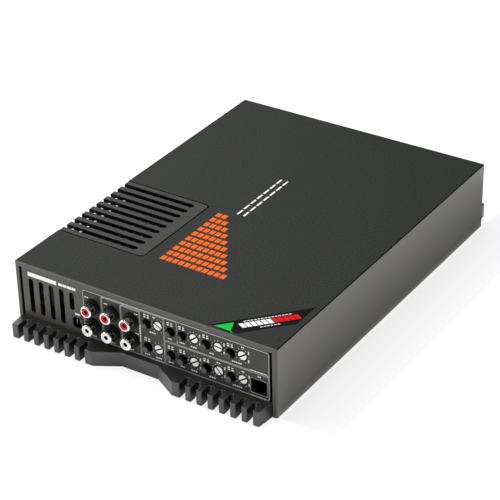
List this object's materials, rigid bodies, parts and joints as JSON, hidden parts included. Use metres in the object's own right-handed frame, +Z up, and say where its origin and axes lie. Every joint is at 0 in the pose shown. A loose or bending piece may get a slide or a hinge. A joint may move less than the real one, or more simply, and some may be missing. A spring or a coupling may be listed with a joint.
{
  "type": "car amplifier",
  "caption": "Low rectangular car amplifier with toothed mounting flanges at both ends, a vent grille let into the top, phono jacks and small controls on its front panel.",
  "frame": {"origin": "centre of the underside", "axes": "+X to the right seen from the control panel, +Y to the rear, +Z up"},
  "size_m": [0.2, 0.3, 0.05],
  "materials": {
    "base_casting": "black anodised, fine blasted",
    "cover_paint": "gunmetal sides, fine textured black top",
    "grille_paint": "satin dark grey",
    "panel_paint": "satin grey with pale printed frames",
    "screw_steel": "zinc plated",
    "black_steel": "black oxide",
    "fin_aluminium": "black anodised, milled fin tops",
    "bracket_metal": "plain sheet",
    "black_plastic": "moulded",
    "fan_plastic": "moulded",
    "board": "green solder mask",
    "brass": "turned",
    "nickel": "bright nickel",
    "red_plastic": "moulded",
    "white_plastic": "moulded",
    "gold": "gold flash",
    "button_plastic": "moulded",
    "shaft_plastic": "pale moulded",
    "fuse_plastic": "tinted clear",
    "copper": "enamelled copper wire",
    "can_sleeve": "shrink sleeve"
  },
  "bodies": {
    "amplifier": {"base_plate": "base_casting", "case_shell": "cover_paint", "vent_grille": "grille_paint", "front_panel": "panel_paint", "rear_panel": "panel_paint", "cover_screws": "black_steel", "fin_block": "fin_aluminium", "fan_bracket": "bracket_metal", "fan_frame": "fan_plastic", "fan_screws": "screw_steel", "chassis_screws": "screw_steel", "main_board": "board", "board_standoffs": "brass", "board_screws": "screw_steel", "input_board": "board", "board_link": "black_plastic", "rca_housings": "black_plastic", "rca_barrels": "nickel", "rca_inserts_red": "red_plastic", "rca_inserts_white": "white_plastic", "rca_contacts": "gold", "switch_bodies": "black_plastic", "pot_bodies": "black_plastic", "remote_socket": "black_plastic", "remote_pins": "nickel", "data_socket": "black_plastic", "data_contacts": "gold", "power_terminal_block": "black_plastic", "power_clamps": "nickel", "speaker_terminal_block": "black_plastic", "speaker_clamps": "nickel", "terminal_screws": "screw_steel", "fuse_holder": "black_plastic", "blade_fuses": "fuse_plastic", "fuse_blades": "screw_steel", "transformers": "copper", "transformer_mounts": "screw_steel", "capacitors": "can_sleeve", "output_coils": "copper", "power_transistors": "black_plastic", "clamp_bars": "bracket_metal"},
    "button_1": {"push_button_1": "button_plastic"},
    "button_2": {"push_button_2": "button_plastic"},
    "button_3": {"push_button_3": "button_plastic"},
    "button_4": {"push_button_4": "button_plastic"},
    "button_5": {"push_button_5": "button_plastic"},
    "button_6": {"push_button_6": "button_plastic"},
    "button_7": {"push_button_7": "button_plastic"},
    "button_8": {"push_button_8": "button_plastic"},
    "button_9": {"push_button_9": "button_plastic"},
    "button_10": {"push_button_10": "button_plastic"},
    "level_1": {"level_shaft_1": "shaft_plastic"},
    "level_2": {"level_shaft_2": "shaft_plastic"},
    "level_3": {"level_shaft_3": "shaft_plastic"},
    "level_4": {"level_shaft_4": "shaft_plastic"},
    "level_5": {"level_shaft_5": "shaft_plastic"},
    "level_6": {"level_shaft_6": "shaft_plastic"},
    "level_7": {"level_shaft_7": "shaft_plastic"},
    "level_8": {"level_shaft_8": "shaft_plastic"},
    "fan": {"fan_rotor": "fan_plastic"}
  },
  "joints": [
    {"name": "button_1_press", "type": "slide", "parent": "amplifier", "child": "button_1", "axis": [0, 1, 0], "range_m": [0, 0.0018], "stiffness_N_per_m": 800, "springref_m": -0.001},
    {"name": "button_2_press", "type": "slide", "parent": "amplifier", "child": "button_2", "axis": [0, 1, 0], "range_m": [0, 0.0018], "stiffness_N_per_m": 800, "springref_m": -0.001},
    {"name": "button_3_press", "type": "slide", "parent": "amplifier", "child": "button_3", "axis": [0, 1, 0], "range_m": [0, 0.0018], "stiffness_N_per_m": 800, "springref_m": -0.001},
    {"name": "button_4_press", "type": "slide", "parent": "amplifier", "child": "button_4", "axis": [0, 1, 0], "range_m": [0, 0.0018], "stiffness_N_per_m": 800, "springref_m": -0.001},
    {"name": "button_5_press", "type": "slide", "parent": "amplifier", "child": "button_5", "axis": [0, 1, 0], "range_m": [0, 0.0018], "stiffness_N_per_m": 800, "springref_m": -0.001},
    {"name": "button_6_press", "type": "slide", "parent": "amplifier", "child": "button_6", "axis": [0, 1, 0], "range_m": [0, 0.0018], "stiffness_N_per_m": 800, "springref_m": -0.001},
    {"name": "button_7_press", "type": "slide", "parent": "amplifier", "child": "button_7", "axis": [0, 1, 0], "range_m": [0, 0.0018], "stiffness_N_per_m": 800, "springref_m": -0.001},
    {"name": "button_8_press", "type": "slide", "parent": "amplifier", "child": "button_8", "axis": [0, 1, 0], "range_m": [0, 0.0018], "stiffness_N_per_m": 800, "springref_m": -0.001},
    {"name": "button_9_press", "type": "slide", "parent": "amplifier", "child": "button_9", "axis": [0, 1, 0], "range_m": [0, 0.0018], "stiffness_N_per_m": 800, "springref_m": -0.001},
    {"name": "button_10_press", "type": "slide", "parent": "amplifier", "child": "button_10", "axis": [0, 1, 0], "range_m": [0, 0.0018], "stiffness_N_per_m": 800, "springref_m": -0.001},
    {"name": "level_1_turn", "type": "hinge", "parent": "amplifier", "child": "level_1", "pos_m": [0.0126, -0.1365, 0.0374], "axis": [0, -1, 0], "range_deg": [-210, 90]},
    {"name": "level_2_turn", "type": "hinge", "parent": "amplifier", "child": "level_2", "pos_m": [0.0397, -0.1365, 0.0374], "axis": [0, -1, 0], "range_deg": [-100, 200]},
    {"name": "level_3_turn", "type": "hinge", "parent": "amplifier", "child": "level_3", "pos_m": [0.0577, -0.1365, 0.0374], "axis": [0, -1, 0], "range_deg": [-235, 65]},
    {"name": "level_4_turn", "type": "hinge", "parent": "amplifier", "child": "level_4", "pos_m": [0.0754, -0.1365, 0.0374], "axis": [0, -1, 0], "range_deg": [-95, 205]},
    {"name": "level_5_turn", "type": "hinge", "parent": "amplifier", "child": "level_5", "pos_m": [0.0126, -0.1365, 0.02], "axis": [0, -1, 0], "range_deg": [-90, 210]},
    {"name": "level_6_turn", "type": "hinge", "parent": "amplifier", "child": "level_6", "pos_m": [0.0397, -0.1365, 0.02], "axis": [0, -1, 0], "range_deg": [-95, 205]},
    {"name": "level_7_turn", "type": "hinge", "parent": "amplifier", "child": "level_7", "pos_m": [0.0577, -0.1365, 0.02], "axis": [0, -1, 0], "range_deg": [-190, 110]},
    {"name": "level_8_turn", "type": "hinge", "parent": "amplifier", "child": "level_8", "pos_m": [0.0754, -0.1365, 0.02], "axis": [0, -1, 0], "range_deg": [-95, 205]},
    {"name": "fan_spin", "type": "hinge", "parent": "amplifier", "child": "fan", "pos_m": [-0.0762, -0.121, 0.0273], "axis": [0, -1, 0], "continuous": true}
  ]
}
